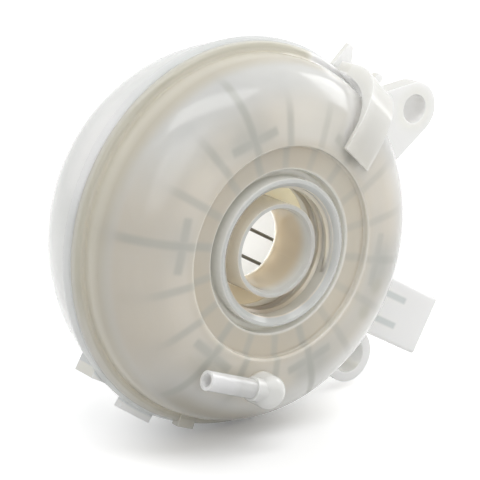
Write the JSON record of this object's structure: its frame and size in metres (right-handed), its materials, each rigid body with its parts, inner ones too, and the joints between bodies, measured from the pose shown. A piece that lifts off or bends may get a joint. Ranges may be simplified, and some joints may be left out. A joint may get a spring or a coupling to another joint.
{
  "type": "coolant expansion tank",
  "caption": "Round milky coolant expansion tank: domed top with filler neck, vent pipe and hose clip, welded to a deep bowl with fixing ear, level sensor socket and outlet.",
  "frame": {"origin": "mouth of the sealing bore inside the filler neck, on the filler axis", "axes": "+Z leaves the filler, +X points to the level sensor socket"},
  "size_m": [0.2203, 0.1912, 0.1457],
  "materials": {
    "shell_plastic": "satin, milky and translucent",
    "pin_steel": "drawn wire"
  },
  "bodies": {
    "root": {"upper_shell": "shell_plastic", "lower_shell": "shell_plastic", "left_sensor_pin": "pin_steel", "right_sensor_pin": "pin_steel"}
  },
  "joints": []
}
